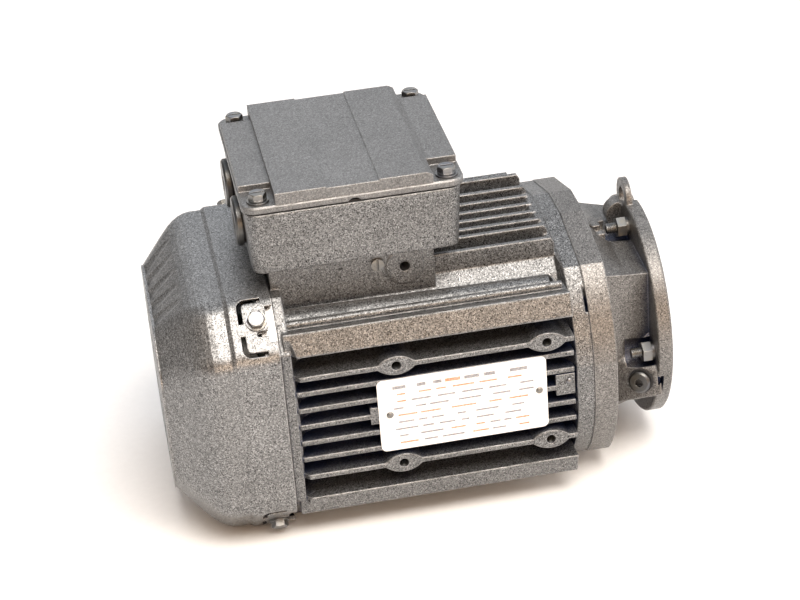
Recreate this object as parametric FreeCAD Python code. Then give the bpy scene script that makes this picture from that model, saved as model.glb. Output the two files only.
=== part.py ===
# Three-phase squirrel-cage motor with a small round flange for a plug-on pinion.
# Millimetres. The shaft lies along X; the flange's mounting face is at X = 0 and faces +X.
# +Z is up, through the terminal box. Each piece is written to parts/NAME.step.
import FreeCAD
import Part
import math
import os

V = FreeCAD.Vector

# ---------------------------------------------------------------- driving dimensions
GAP = 0.05                       # clearance between a screw and its hole's thread, and in seats
M5_R, M4_R = 2.5, 2.0            # radii of the screws' shanks

# Flange, neck and rim of the front end shield
FLANGE_R = 60.0
FLANGE_T = 8.0
EAR_X = (-7.6, -4.4)
PILOT_R = 40.0
PILOT_L = 3.0
RIM_X = (-47.0, -34.8)
RIM_R = 77.5                     # round sides of the rim, and its straight-sided top in one quarter
RIM_TOP = ((0.0, 67.5), (13.0, 67.5), (40.0, 60.2), (53.5, 56.6), (60.5, 48.7), (76.8, 32.0), (76.8, 0.0))
NECK_TOP = ((-34.8, 57.0), (-20.0, 44.6), (-7.0, 43.0))          # height of the neck's upper side along X
NECK_SIDE = ((-34.8, 47.4), (-20.0, 44.2), (-7.0, 41.4))         # its half width
NECK_SHOULDER = ((-34.8, 45.0), (-20.0, 42.0), (-7.0, 39.8))     # height of its upper corners
STUD_R_CIRCLE = 49.0             # radius of the circle of studs
STUD_TURN = math.radians(3.5)    # the studs stand this far round from upright
STUD_R = 3.0
POCKET_R = 8.0
SHIELD_SCREW_R = 62.5            # radius on which the front shield's cap screws stand

# Stator housing
HOUSING_X = (-207.5, -47.0)
BARREL_R = 61.5
BORE_R = 57.0
REGISTER_R = 58.5
REGISTER_L = 5.0
END_RING_X = -56.0               # front ring from here to the rim
FIN_X = (-202.3, -57.5)
FIN_T = 2.6
SIDE_FIN_PITCH = 9.73
SIDE_TIP = 78.0
PLATE_TIP = 76.0
TOP_FINS = ((4.8, 67.3), (14.4, 67.5), (24.0, 68.3), (39.2, 68.5))
BAND_HALF_Y, BAND_HALF_Z, BAND_FACET = 76.0, 65.3, 84.5
RAMP_END_X = -165.0
BOSS_X = (-150.0, -71.8)
BOSS_Z = 29.2
BOSS_HALF_L, BOSS_HALF_H = 10.8, 5.3
BOSS_HOLE_R, BOSS_HOLE_L = 2.5, 14.0
PLATFORM_X = (-206.5, -121.5)
PLATFORM_Y = 46.0
PLATFORM_Z = 79.2
PASSAGE_X = (-204.0, -184.0)     # lead passage from the winding to the terminal box
PASSAGE_Y = 15.0
REAR_SCREW_YZ = (54.0, 48.5)     # the rear shield's cap screws, and their mirror images
EARTH_AT = (-137.0, 68.0)        # X and Z of the earth hole on the platform's near face
PLATFORM_SCREW_AT = (-151.0, 71.3)

# Fan cowl
COWL_X = (-268.0, -208.0)
COWL_BEND_X = -246.0
COWL_STEP_X = (-232.0, -229.8)          # where the cowl widens a little towards the front
COWL_STEP = (0.3, 1.4, 1.2)             # by how much: half width, half height, facet
COWL_SOFT = 13.0                        # radius of the cowl's long bends
COWL_SOFT_REAR = 18.0                   # the same at its rear end
COWL_BEND_HALF = 8.0                    # half the length of the curve round its eight-sided bend
COWL_BEND_STEPS = 5
COWL_WALL = 2.0
COWL_HALF_Y, COWL_HALF_Z, COWL_FACET = 80.0, 68.3, 88.74
REAR_HALF_Y, REAR_HALF_Z, REAR_FACET = 57.5, 47.0, 61.0
COWL_SCREW = (-217.0, 65.5, 60.0)
FACET_OUT = (0.0, math.sqrt(0.5), math.sqrt(0.5))     # outward from a corner facet

# Electrical core
CORE_X = (-178.0, -88.0)
STATOR_IR = 35.0
AIR_GAP = 0.4
SLOTS = 24
ROTOR_BARS = 22

# Bearings: first X, width, bore radius, outer radius, ball radius, number of balls
FRONT_BEARING = (-30.0, 15.0, 12.5, 26.0, 3.97, 9)
REAR_BEARING = (-224.0, 14.0, 10.0, 23.5, 3.97, 8)

# Fan on the rear stub of the shaft
FAN_X = (-256.0, -240.0)
FAN_R = 50.0
FAN_BLADES = 9
STUB_R = 8.0

# Terminal box, its lid and what is inside
BOX_TOP = (-215.6, -106.4, 57.0)      # low X, high X, half width at the top
BOX_FOOT = (-214.4, -109.0, 55.6)     # the same at the foot
BOX_Z = (80.4, 113.2)
BOX_WALL = 4.0
LID_X = (-216.9, -104.6)
LID_Y = 57.0
LID_Z = 114.2
LID_EDGE_Z = 117.0                      # top of the lid's edge, level with its fold line
LID_STRIP_Z, LID_RIGHT_Z, LID_TOP_Z = 121.0, 121.4, 123.6
LID_CENTRE_X = (-200.1, -123.6)
LID_CHANNEL_X = (-174.3, -147.7)
LID_FLOOR_Z = 117.6                   # floor of the screw pockets
LID_POCKET_Y = (-36.5, 42.7)            # inner walls of the near and the far pockets
LID_SCREWS = [(x, y) for x in (-208.0, -112.7) for y in (-49.0, 49.0)]
BOX_SCREWS = [(x, y) for x in (-199.5, -128.0) for y in (-36.0, 36.0)]
ENTRY_Y, ENTRY_Z, ENTRY_R = 23.0, 95.6, 9.0
ENTRY_SEAT_X = -214.7                   # flat round the entry holes
BOARD_X, BOARD_Y, BOARD_Z = (-176.0, -122.0), 30.0, (93.0, 101.0)
BOARD_STUDS = [(x, y) for x in (-160.0, -138.0) for y in (-18.0, 0.0, 18.0)]
BOARD_SCREWS = [(-171.0, 25.0), (-171.0, -25.0), (-127.0, 25.0), (-127.0, -25.0)]

# Rating plate on the near side
PLATE_X = (-160.9, -72.5)
PLATE_Z = (-21.5, 20.6)
PLATE_T = 0.8
PLATE_PINS = ((-155.1, 0.0), (-76.6, 0.8), (-60.5, 3.0))

# Drain plug, low on the near side of the neck
DRAIN_R = 4.0
DRAIN_POS = (-16.3, -54.0, -17.2)        # centre of the drain plug's seat
DRAIN_DIR = (-0.523, -0.831, 0.192)      # outward from that seat
WEDGE_TIP = (-25.8, -46.0, -8.7)
WEDGE_TOP = (-0.33, -0.665, 0.673)       # outward from the wedge's upper face, which starts at its tip
WEDGE_FOOT = (-20.0, -55.0, -27.5)       # a point on its underside
WEDGE_UNDER = (0.0, -0.548, -0.836)      # outward from its underside

NODES = {}


# ---------------------------------------------------------------- small helpers
def rod(radius, x0, x1, y=0.0, z=0.0):
    """Cylinder along X."""
    return Part.makeCylinder(radius, x1 - x0, V(x0, y, z), V(1, 0, 0))


def tube(outer, inner, x0, x1, y=0.0, z=0.0):
    return rod(outer, x0, x1, y, z).cut(rod(inner, x0 - 1, x1 + 1, y, z))


def block(x0, x1, y0, y1, z0, z1):
    return Part.makeBox(x1 - x0, y1 - y0, z1 - z0, V(x0, y0, z0))


def join(shapes):
    """One body from shapes that touch or overlap."""
    first, *rest = shapes
    return first.multiFuse(rest).removeSplitter() if rest else first


def solids_of(shapes):
    """Several separate solids kept together as one group."""
    return Part.makeCompound(list(shapes))


def flat_face(points):
    return Part.Face(Part.makePolygon(points + [points[0]]))


def prism_x(points, x0, x1):
    """A (y, z) outline carried along X."""
    return flat_face([V(x0, y, z) for y, z in points]).extrude(V(x1 - x0, 0, 0))


def plan_prism(points, z0, z1):
    """An (x, y) outline carried up Z."""
    return flat_face([V(x, y, z0) for x, y in points]).extrude(V(0, 0, z1 - z0))


def octagon(half_y, half_z, facet):
    """Outline with flat sides and corner facets at the distance facet from the axis."""
    s = facet * math.sqrt(2)
    quarter = [(half_y, s - half_y), (s - half_z, half_z)]
    upper = quarter + [(-y, z) for y, z in reversed(quarter)]
    return upper + [(-y, -z) for y, z in upper]


def rounded_wire(x0, x1, y0, y1, z, r):
    """Rectangle with round corners in a level plane."""
    centres = [(x1 - r, y1 - r, 0), (x0 + r, y1 - r, 90), (x0 + r, y0 + r, 180), (x1 - r, y0 + r, 270)]
    edges = []
    last = None
    for cx, cy, start in centres:
        at = [V(cx + r * math.cos(math.radians(a)), cy + r * math.sin(math.radians(a)), z)
              for a in (start, start + 45, start + 90)]
        if last is not None:
            edges.append(Part.makeLine(last, at[0]))
        edges.append(Part.Arc(*at).toShape())
        last = at[2]
    edges.append(Part.makeLine(last, edges[0].Vertexes[0].Point))
    return Part.Wire(edges)


def rounded_block(x0, x1, y0, y1, z0, z1, r):
    return Part.Face(rounded_wire(x0, x1, y0, y1, z0, r)).extrude(V(0, 0, z1 - z0))


def hex_prism(across, height):
    r = across / math.sqrt(3)
    return flat_face([V(r * math.cos(i * math.pi / 3), r * math.sin(i * math.pi / 3), 0)
                      for i in range(6)]).extrude(V(0, 0, height))


def place(shape, position, direction=(0, 0, 1)):
    """Copy of shape with its own +Z turned to direction and its origin at position."""
    copy = shape.copy()
    copy.Placement = FreeCAD.Placement(V(*position), FreeCAD.Rotation(V(0, 0, 1), V(*direction)))
    return copy


def mirror_y(shape):
    return shape.mirror(V(0, 0, 0), V(0, 1, 0))


def mirror_z(shape):
    return shape.mirror(V(0, 0, 0), V(0, 0, 1))


def four_ways(shape):
    """shape and its mirror images about the two middle planes."""
    pair = [shape, mirror_y(shape)]
    return pair + [mirror_z(s) for s in pair]


def hex_screw(across, head, flange_r, flange_t, shank_r, length):
    """Hex head with a round flange under it; the flange's underside is at the origin."""
    top = hex_prism(across, head).common(Part.makeSphere(across * 0.78, V(0, 0, head - across * 0.62)))
    return join([top, Part.makeCylinder(flange_r, flange_t),
                 Part.makeCylinder(shank_r, length, V(0, 0, -length))])


def cap_screw(head_r, head, shank_r, length, socket):
    """Round head with a hexagon socket."""
    body = join([Part.makeCylinder(head_r, head), Part.makeCylinder(shank_r, length, V(0, 0, -length))])
    return body.cut(place(hex_prism(socket, head), (0, 0, head * 0.45)))


def hex_nut(across, height, hole_r):
    r = across / math.sqrt(3)
    body = hex_prism(across, height)
    chamfer = Part.makeCone(r + 1.0, r - 0.5, 1.5, V(0, 0, height - 1.2))
    keep = Part.makeCylinder(r + 1.0, height - 1.2).fuse(chamfer)
    return body.common(keep).cut(Part.makeCylinder(hole_r, height + 2, V(0, 0, -1)))


def ring_z(outer, inner, height):
    return Part.makeCylinder(outer, height).cut(Part.makeCylinder(inner, height + 2, V(0, 0, -1)))


# ---------------------------------------------------------------- stator housing
def side_fin(z, tip):
    """One level fin on the +Y side; its rear end is bevelled down to the band."""
    bevel = tip - 74.6
    plan = [(FIN_X[0] - 3, 50), (FIN_X[0] - 3, 74.6), (FIN_X[0], 74.6), (FIN_X[0] + 0.9 * bevel, tip),
            (FIN_X[1], tip), (FIN_X[1], 50)]
    root = math.sqrt((BORE_R + 1) ** 2 - z * z)
    fin = plan_prism(plan, z - FIN_T / 2, z + FIN_T / 2)
    return fin.common(block(-300, 0, root, 100, -100, 100))


def eye_boss(x, z):
    """Threaded boss, pointed at both ends where it runs into its fin, on the +Y side."""
    r = (BOSS_HALF_L ** 2 + BOSS_HALF_H ** 2) / (2 * BOSS_HALF_H)
    off = r - BOSS_HALF_H
    start = BORE_R * 0.86
    arcs = [Part.makeCylinder(r, SIDE_TIP - start, V(x, start, z + s * off), V(0, 1, 0)) for s in (-1, 1)]
    return arcs[0].common(arcs[1])


def corner(x0, x1):
    """Quarter (+Y, +Z) of the corner: facet block, screw channel and the slanted rib."""
    facet = prism_x([(36, 44), (38.1, 58.6), (40.2, 58.1), (47.3, 51.9), (53, 44), (46, 36)], x0 - 4, x1)
    channel = Part.makeCone(8.2, 7.2, x1 - 7 - x0 + 4, V(x0 - 4, 54.4, 48.6), V(148, -1.0, -2.0))
    nose = Part.makeCone(7.1, 1.2, 7.0, V(x1 - 7.4, 53.4, 46.6), V(7, -2.5, -2.5))
    bead = rod(2.2, x0 - 4, x1 - 2, 62.2, 52.6)
    rib = prism_x([(52, 42), (78, 42), (73.6, 53.6), (72, 53.6), (66, 51.2), (58, 51.2)], x0 - 3, x1)
    plan = plan_prism([(x0 - 3, 40), (x0 - 3, 74.6), (x0, 74.6), (x0 + 3.2, 78.2), (x1, 78.2), (x1, 40)],
                      38, 60)
    return join([facet, channel, nose, bead, rib.common(plan)])


def top_fin(y, tip):
    """One upright fin on the +Z side; its front end slopes off."""
    face = flat_face([V(FIN_X[0] - 3, y - FIN_T / 2, 46), V(FIN_X[0] - 3, y - FIN_T / 2, tip),
                      V(FIN_X[1] - 1.5, y - FIN_T / 2, tip), V(FIN_X[1], y - FIN_T / 2, tip - 2.5),
                      V(FIN_X[1], y - FIN_T / 2, 46)])
    fin = face.extrude(V(0, FIN_T, 0))
    root = math.sqrt((BORE_R + 1) ** 2 - y * y)
    return fin.common(block(-300, 0, -100, 100, root, 100))


def turned(profile):
    """Solid turned round the shaft line from an (x, radius) outline that starts and ends on that line."""
    return flat_face([V(x, 0, r) for x, r in profile]).revolve(V(0, 0, 0), V(1, 0, 0), 360)


def ramps():
    """Hollow curves where the closed band and the front rim run down to the barrel between the fins."""
    rear = turned([(FIN_X[0], 0), (FIN_X[0], 86), (-201.6, 77), (-200.4, 71.5), (-198.5, 67.6),
                   (-194.5, 65.4), (-184, 63.4), (RAMP_END_X, BARREL_R - 0.5), (RAMP_END_X, 0)])
    front = turned([(-70, 0), (-70, BARREL_R - 0.4), (-66, 62.6), (-62.5, 64.6), (-59.5, 67.8),
                    (-57.6, 71.6), (-56.2, 76), (END_RING_X, 76), (END_RING_X, 0)])
    return [rear.common(prism_x(octagon(74.6, BAND_HALF_Z - 1, BAND_FACET - 1.5), FIN_X[0], RAMP_END_X)),
            front.common(rim_outline(-70, END_RING_X, -1.0))]


def rim_outline(x0, x1, grow=0.0):
    """Rim of the front end: round at the sides, with a low gable above and below."""
    quarter = [(y * (1 + grow / RIM_R), z * (1 + grow / RIM_R)) for y, z in RIM_TOP]
    upper = quarter[::-1] + [(-y, z) for y, z in quarter[1:]]
    outline = upper[:-1] + [(-y, -z) for y, z in upper[:-1]]
    return prism_x(outline, x0, x1).common(rod(RIM_R + grow, x0, x1))


def platform():
    """Raised seat of the terminal box, with the earth boss on its near face."""
    seat = block(*PLATFORM_X, -PLATFORM_Y, PLATFORM_Y, 44, PLATFORM_Z)
    earth = Part.makeCylinder(9.8, 1.0, V(EARTH_AT[0], -PLATFORM_Y - 0.5, EARTH_AT[1]), V(0, 1, 0))
    return join([seat, earth.common(block(-200, -100, -60, 0, 50, PLATFORM_Z))])


def stator_housing():
    body = [rod(BARREL_R, *HOUSING_X), *ramps(), platform(),
            prism_x(octagon(BAND_HALF_Y, BAND_HALF_Z, BAND_FACET), HOUSING_X[0], FIN_X[0]),
            rim_outline(END_RING_X, HOUSING_X[1], -0.4)]
    side = [side_fin(i * SIDE_FIN_PITCH, PLATE_TIP if i < 3 else SIDE_TIP) for i in range(4)]
    side += [mirror_z(f) for f in side[1:]]
    side += [eye_boss(x, z) for x in BOSS_X for z in (-BOSS_Z, BOSS_Z)]
    body += side + [mirror_y(s) for s in side]
    top = [top_fin(y, tip) for y, tip in TOP_FINS]
    top += [mirror_y(f) for f in top]
    body += top + [mirror_z(f) for f in top]
    body += four_ways(corner(*FIN_X))
    # pads under the rating plate's pins, and one clear of it
    body += [block(x0, x1, -PLATE_TIP, -BORE_R - 1, -4.6, z1)
             for x0, x1, z1 in ((-165.0, -150.0, 5.2), (-82.0, -73.4, 5.2), (-67.5, FIN_X[1], 7.5))]
    housing = join(body)
    cuts = [rod(BORE_R, HOUSING_X[0] - 1, HOUSING_X[1] + 1),
            rod(REGISTER_R, HOUSING_X[0] - 1, HOUSING_X[0] + REGISTER_L),
            rod(REGISTER_R, HOUSING_X[1] - REGISTER_L, HOUSING_X[1] + 1),
            block(*PASSAGE_X, -PASSAGE_Y, PASSAGE_Y, 50, PLATFORM_Z + 1)]
    for x in BOSS_X:
        for z in (-BOSS_Z, BOSS_Z):
            hole = Part.makeCylinder(BOSS_HOLE_R, BOSS_HOLE_L + 1, V(x, SIDE_TIP + 1, z), V(0, -1, 0))
            cuts += [hole, mirror_y(hole)]
    tapped = rod(M5_R + GAP, HOUSING_X[1] - 22, HOUSING_X[1] + 1, *shield_screw_yz())
    cuts += four_ways(tapped)
    cuts += four_ways(rod(M5_R + GAP, HOUSING_X[0] - 1, HOUSING_X[0] + 20, *REAR_SCREW_YZ))
    cuts += [Part.makeCylinder(M5_R + GAP, 16, V(x, y, PLATFORM_Z - 15)) for x, y in BOX_SCREWS]
    # earth hole and the small slotted screw beside it
    for r, depth, (x, z) in ((2.7, 11, EARTH_AT), (M4_R + GAP, 8, PLATFORM_SCREW_AT)):
        cuts.append(Part.makeCylinder(r, depth + 1, V(x, -PLATFORM_Y - 1, z), V(0, 1, 0)))
    cuts += [Part.makeCylinder(1.2 + GAP, 8, V(x, -PLATE_TIP - 1, z), V(0, 1, 0)) for x, z in PLATE_PINS]
    # slots for prising the end shield off
    pry = block(HOUSING_X[1] - 1.6, HOUSING_X[1] + 1, 60, 90, 37, 49)
    cuts += [pry, mirror_y(pry)]
    return housing.cut(cuts)


def shield_screw_yz():
    a = SHIELD_SCREW_R / math.sqrt(2)
    return a, a


# ---------------------------------------------------------------- end shields
def stud_positions():
    angles = [STUD_TURN + i * math.pi / 2 for i in range(4)]
    return [(-STUD_R_CIRCLE * math.sin(a), STUD_R_CIRCLE * math.cos(a)) for a in angles]


def lifting_ear():
    """Thin ear standing up from the flange's rear half, the gusset behind it, and the eye through both."""
    radius, y, z = 10.6, 10.0, 60.2
    ear = rod(radius, *EAR_X, y, z)
    root = prism_x([(y - radius, 50), (y - radius, z), (y + radius, z), (y + radius, 50)], *EAR_X)
    gusset = Part.makeCylinder(7.6, 8.0, V(-8.5, 11.5, 48.8), V(0, 1, 0))
    gusset = gusset.common(block(-20, -FLANGE_T + 1, 0, 30, 30, 60))
    return join([ear, root, gusset]), rod(5.2, EAR_X[0] - 1, 1.0, y, z + 0.4)


def neck():
    """Eight-sided neck between the rim and the flange, tapering forwards."""
    wires = []
    for (x, top), (_, side), (_, shoulder) in zip(NECK_TOP, NECK_SIDE, NECK_SHOULDER):
        half = [(0, top), (10.0, top), (side, shoulder), (side, -0.75 * shoulder), (0.75 * side, -shoulder),
                (10.0, -shoulder - 5.0), (0, -shoulder - 5.0)]
        outline = half + [(-y, z) for y, z in half[-2:0:-1]]
        wires.append(Part.makePolygon([V(x, y, z) for y, z in outline + outline[:1]]))
    return Part.makeLoft(wires, True, True)


def below(point, normal):
    """Large block that fills the space behind the plane through point with this outward normal."""
    return place(block(-90, 90, -90, 90, -180, 0), point, normal)


def drain_boss():
    """Wedge-shaped boss that gives the drain plug a flat seat."""
    wedge = block(RIM_X[1] - 1, -FLANGE_T + 1, -62, -30, -36, 4)
    sides = ((DRAIN_POS, DRAIN_DIR), (WEDGE_TIP, WEDGE_TOP), (WEDGE_FOOT, WEDGE_UNDER))
    for point, normal in sides:
        wedge = wedge.common(below(point, normal))
    return wedge


def flange_disc():
    """Round flange with its edges broken."""
    disc = rod(FLANGE_R, -FLANGE_T, 0)
    rims = [e for e in disc.Edges if len(e.Vertexes) == 1]
    return disc.makeChamfer(0.8, rims)


def flange_end_shield():
    ear, eye = lifting_ear()
    body = join([rim_outline(*RIM_X), rod(REGISTER_R - GAP, RIM_X[0] - REGISTER_L + 0.5, RIM_X[0]),
                 neck(), flange_disc(), rod(PILOT_R, -1, PILOT_L),
                 block(RIM_X[1] - 1, -19.5, -10, 10, 30, 50), ear, drain_boss()])
    seat_x, width, _, seat_r = FRONT_BEARING[:4]
    cuts = [rod(BORE_R - 7, RIM_X[0] - 9, -43), tube(38.5, 31.5, RIM_X[0] - 9, -14),
            rod(seat_r, RIM_X[0] - 9, seat_x + width), rod(27.6, seat_x - 1.4, seat_x),
            rod(20.0, seat_x, PILOT_L + 1), eye]
    for y, z in stud_positions():
        cuts += [rod(POCKET_R, -22.5, -FLANGE_T, y, z), rod(STUD_R + 0.2, -30, 1, y, z)]
    y, z = shield_screw_yz()
    cuts += four_ways(rod(5.4, RIM_X[0] + 7, RIM_X[1] + 1, y, z))
    cuts += four_ways(rod(3.2, RIM_X[0] - 1, RIM_X[1], y, z))
    # prising slot in the flange's rear edge, low on the near side
    slot = block(-FLANGE_T - 0.5, -FLANGE_T + 3.0, -62, -55, -7.5, 7.5)
    slot.rotate(V(0, 0, 0), V(1, 0, 0), 20.5)
    cuts.append(slot)
    pos, back = V(*DRAIN_POS), V(*DRAIN_DIR).multiply(-1)
    cuts.append(Part.makeCylinder(DRAIN_R + GAP, 20, pos, back))
    cuts.append(Part.makeCylinder(7.6, 14, pos, V(*DRAIN_DIR)))
    return body.cut(cuts)


def facet_point(depth):
    """Point on the axis of a cowl screw, at a depth below the cowl's corner facet."""
    return V(*COWL_SCREW) - V(*FACET_OUT).multiply(depth)


def rear_end_shield():
    x1 = HOUSING_X[0]
    x0 = x1 - 7.5
    seat_x, width, _, seat_r = REAR_BEARING[:4]
    plate = prism_x(octagon(BAND_HALF_Y, BAND_HALF_Z, BAND_FACET), x0, x1)
    body = [plate, rod(REGISTER_R - GAP, x1, x1 + REGISTER_L - 0.5), rod(30.0, seat_x - 6, x1)]
    # four lugs behind the plate take the cowl's screws, square to the cowl's corner facets
    lug_top = COWL_WALL + 0.25
    lug = Part.makeCylinder(6.6, 9.2, facet_point(lug_top), V(*FACET_OUT).multiply(-1))
    body += four_ways(lug)
    ribs = []
    for i in range(8):
        rib = block(x0 - 4, x0, -1.6, 1.6, 28, 60)
        rib.rotate(V(0, 0, 0), V(1, 0, 0), i * 45 + 22.5)
        ribs.append(rib)
    shield = join(body + ribs)
    cuts = [rod(50.0, x1 - 2, x1 + REGISTER_L), tube(46.0, 31.5, x0 + 4, x1 + 1),
            rod(seat_r, seat_x - 2.5, x1 + REGISTER_L), rod(11.0, seat_x - 10, seat_x)]
    cuts += four_ways(rod(2.8, x0 - 1, x1 + 1, *REAR_SCREW_YZ))
    cuts += four_ways(Part.makeCylinder(M5_R + GAP, 9.5, facet_point(0), V(*FACET_OUT).multiply(-1)))
    return shield.cut(cuts)


# ---------------------------------------------------------------- stator and rotor cores
def slot_shape(x0, x1, i, shrink):
    """Stator slot number i: a narrow mouth and a rounded bag."""
    mouth = block(x0, x1, -1.3 + shrink, 1.3 - shrink, STATOR_IR - 1, 39)
    bag = block(x0, x1, -3.2 + shrink, 3.2 - shrink, 38, 47).fuse(rod(3.2 - shrink, x0, x1, 0, 47))
    slot = mouth.fuse(bag)
    slot.rotate(V(0, 0, 0), V(1, 0, 0), i * 360.0 / SLOTS)
    return slot


def stator_core():
    core = tube(BORE_R - 0.02, STATOR_IR, *CORE_X)
    return core.cut([slot_shape(CORE_X[0] - 1, CORE_X[1] + 1, i, 0) for i in range(SLOTS)])


def stator_winding():
    """Coil sides in the slots and the laced end turns at both ends, as one bound winding."""
    heads = []
    for x0, x1, bulge in ((CORE_X[0] - 20, CORE_X[0] - 2, CORE_X[0] - 10),
                          (CORE_X[1] + 2, CORE_X[1] + 20, CORE_X[1] + 10)):
        heads += [tube(51.0, 39.5, x0, x1), Part.makeTorus(46.0, 7.4, V(bulge, 0, 0), V(1, 0, 0))]
    sides = []
    for i in range(SLOTS):
        side = block(CORE_X[0] - 4, CORE_X[1] + 4, -2.9, 2.9, 40.0, 47.5)
        side.rotate(V(0, 0, 0), V(1, 0, 0), i * 360.0 / SLOTS)
        sides.append(side)
    return join(heads + sides)


def bar_positions():
    r = STATOR_IR - AIR_GAP - 4.0
    return [(r * math.cos(2 * math.pi * i / ROTOR_BARS), r * math.sin(2 * math.pi * i / ROTOR_BARS))
            for i in range(ROTOR_BARS)]


def rotor_core():
    core = tube(STATOR_IR - AIR_GAP, 16.0, *CORE_X)
    cuts = [rod(2.6, CORE_X[0] - 1, CORE_X[1] + 1, y, z) for y, z in bar_positions()]
    return core.cut(cuts)


def rotor_cage():
    """Cast bars with an end ring and small stirring blades at each end."""
    parts = [rod(2.55, CORE_X[0] - 1, CORE_X[1] + 1, y, z) for y, z in bar_positions()]
    rear, front = CORE_X
    for x0, x1, tip in ((rear - 9, rear, rear - 17), (front, front + 9, front + 17)):
        parts.append(tube(STATOR_IR - AIR_GAP - 0.6, 22.0, x0, x1))
        for i in range(6):
            blade = block(min(x0, tip), max(x1, tip), -1.4, 1.4, 25.0, 32.0)
            blade.rotate(V(0, 0, 0), V(1, 0, 0), i * 60.0)
            parts.append(blade)
    return join(parts)


def motor_shaft():
    front_x, front_w, front_r = FRONT_BEARING[:3]
    rear_x, rear_w, rear_r = REAR_BEARING[:3]
    steps = [rod(front_r, front_x, 6.0), rod(15.0, CORE_X[1], front_x), rod(16.0, *CORE_X),
             rod(14.0, rear_x + rear_w, CORE_X[0]), rod(rear_r, rear_x, rear_x + rear_w),
             rod(rear_r - 0.8, rear_x - 13, rear_x), rod(STUB_R, FAN_X[0] - 4, rear_x - 12)]
    grooves = [tube(14, front_r - 0.7, front_x + front_w, front_x + front_w + 1.3)]
    grooves += [tube(12, STUB_R - 0.5, x, x + 1.0) for x in (FAN_X[0] - 1.0, FAN_X[1])]
    keyway = block(FAN_X[0] + 2, FAN_X[1] - 2, -2.5, 2.5, STUB_R - 3, STUB_R + 1)
    pinion_bore = rod(7.0, -24.0, 7.0)
    return join(steps).cut(grooves + [keyway, pinion_bore])


# ---------------------------------------------------------------- bearings, seals and rings
def bearing(prefix, spec):
    x0, width, bore_r, outer_r, ball_r, count = spec
    mid = x0 + width / 2
    pitch = (bore_r + outer_r) / 2
    race = Part.makeTorus(pitch, ball_r + 0.03, V(mid, 0, 0), V(1, 0, 0))
    NODES[prefix + "_outer_ring"] = tube(outer_r, pitch + 2.1, x0, x0 + width).cut(race)
    NODES[prefix + "_inner_ring"] = tube(pitch - 2.1, bore_r, x0, x0 + width).cut(race)
    centres = [V(mid, pitch * math.cos(2 * math.pi * i / count), pitch * math.sin(2 * math.pi * i / count))
               for i in range(count)]
    NODES[prefix + "_balls"] = solids_of(Part.makeSphere(ball_r, c) for c in centres)
    cage = tube(pitch + 1.3, pitch - 1.3, mid - 5.0, mid + 5.0)
    NODES[prefix + "_cage"] = cage.cut([Part.makeSphere(ball_r + 0.08, c) for c in centres])


def circlip(inner, outer, x0, x1, gap_angle):
    """Snap ring with a gap at the top."""
    ring = tube(outer, inner, x0, x1)
    gap = block(x0 - 1, x1 + 1, -outer * math.sin(gap_angle), outer * math.sin(gap_angle), 0, outer + 1)
    return ring.cut(gap)


def wave_washer():
    """Flat ring bent into three waves, which presses on the rear bearing's outer ring."""
    x_mid = REAR_BEARING[0] - 1.25
    amplitude, thickness, waves, steps = 0.9, 0.5, 3, 36
    angles = [2 * math.pi * i / steps for i in range(steps)]
    loops = []
    for r in (19.0, 23.0):
        points = [V(x_mid - thickness / 2 + amplitude * math.cos(waves * a), r * math.cos(a), r * math.sin(a))
                  for a in angles]
        curve = Part.BSplineCurve()
        curve.interpolate(points, PeriodicFlag=True)
        loops.append(curve.toShape())
    return Part.makeRuledSurface(loops[0], loops[1]).extrude(V(thickness, 0, 0))


def oil_seal():
    """Shaft seal in the front bore, with its lip just clear of the shaft."""
    shaft_r = FRONT_BEARING[2]
    return join([tube(20.0, 18.4, -12.0, -5.0), tube(20.0, shaft_r + 2.2, -12.0, -10.8),
                 tube(shaft_r + 3.6, shaft_r + 0.05, -12.0, -7.6)])


def rear_seal_ring():
    """V-ring that turns with the shaft behind the rear bearing."""
    x1 = REAR_BEARING[0] - 6.4
    r = REAR_BEARING[2] - 0.8
    lip_r, lip_x = 15.5, x1 - 2.4
    lip = Part.makeCone(lip_r, r + 2.0, 2.4, V(lip_x, 0, 0), V(-1, 0, 0))
    ring = join([tube(r + 4, r, x1 - 5.5, x1 - 2.0), rod(lip_r, lip_x, lip_x + 1.2), lip])
    return ring.cut(rod(r, x1 - 10, x1 + 5))


# ---------------------------------------------------------------- fan and cowl
def fan():
    solid_hub = rod(15.0, *FAN_X)
    disc = tube(FAN_R, 13.0, FAN_X[1] - 2.2, FAN_X[1])
    blades = []
    for i in range(FAN_BLADES):
        blade = block(FAN_X[0] + 4, FAN_X[1] - 1, -1.0, 1.0, 14.0, FAN_R - 1)
        blade.rotate(V(0, 0, 0), V(1, 0, 0), i * 360.0 / FAN_BLADES)
        blades.append(blade)
    keyway = block(FAN_X[0] - 1, FAN_X[1] + 3, -2.5, 2.5, STUB_R - 1, STUB_R + 2.2)
    return join([solid_hub, disc] + blades).cut([rod(STUB_R, FAN_X[0] - 1, FAN_X[1] + 1), keyway])


def soft_octagon(x, half_y, half_z, facet, soft=COWL_SOFT):
    """Octagon outline in the plane at x, with its corners rounded."""
    corners = [V(x, y, z) for y, z in octagon(half_y, half_z, facet)]
    cut_back = soft * math.tan(math.pi / 8)
    sagitta = soft * (1 / math.cos(math.pi / 8) - 1)
    edges = []
    for i, corner_point in enumerate(corners):
        to_last = (corners[i - 1] - corner_point).normalize()
        to_next = (corners[(i + 1) % len(corners)] - corner_point).normalize()
        inward = (to_last + to_next).normalize()
        arc = [corner_point + V(to_last).multiply(cut_back), corner_point + inward.multiply(sagitta),
               corner_point + V(to_next).multiply(cut_back)]
        if edges:
            edges.append(Part.makeLine(edges[-1].lastVertex().Point, arc[0]))
        edges.append(Part.Arc(*arc).toShape())
    edges.append(Part.makeLine(edges[-1].lastVertex().Point, edges[0].firstVertex().Point))
    return Part.Wire(edges)


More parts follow.
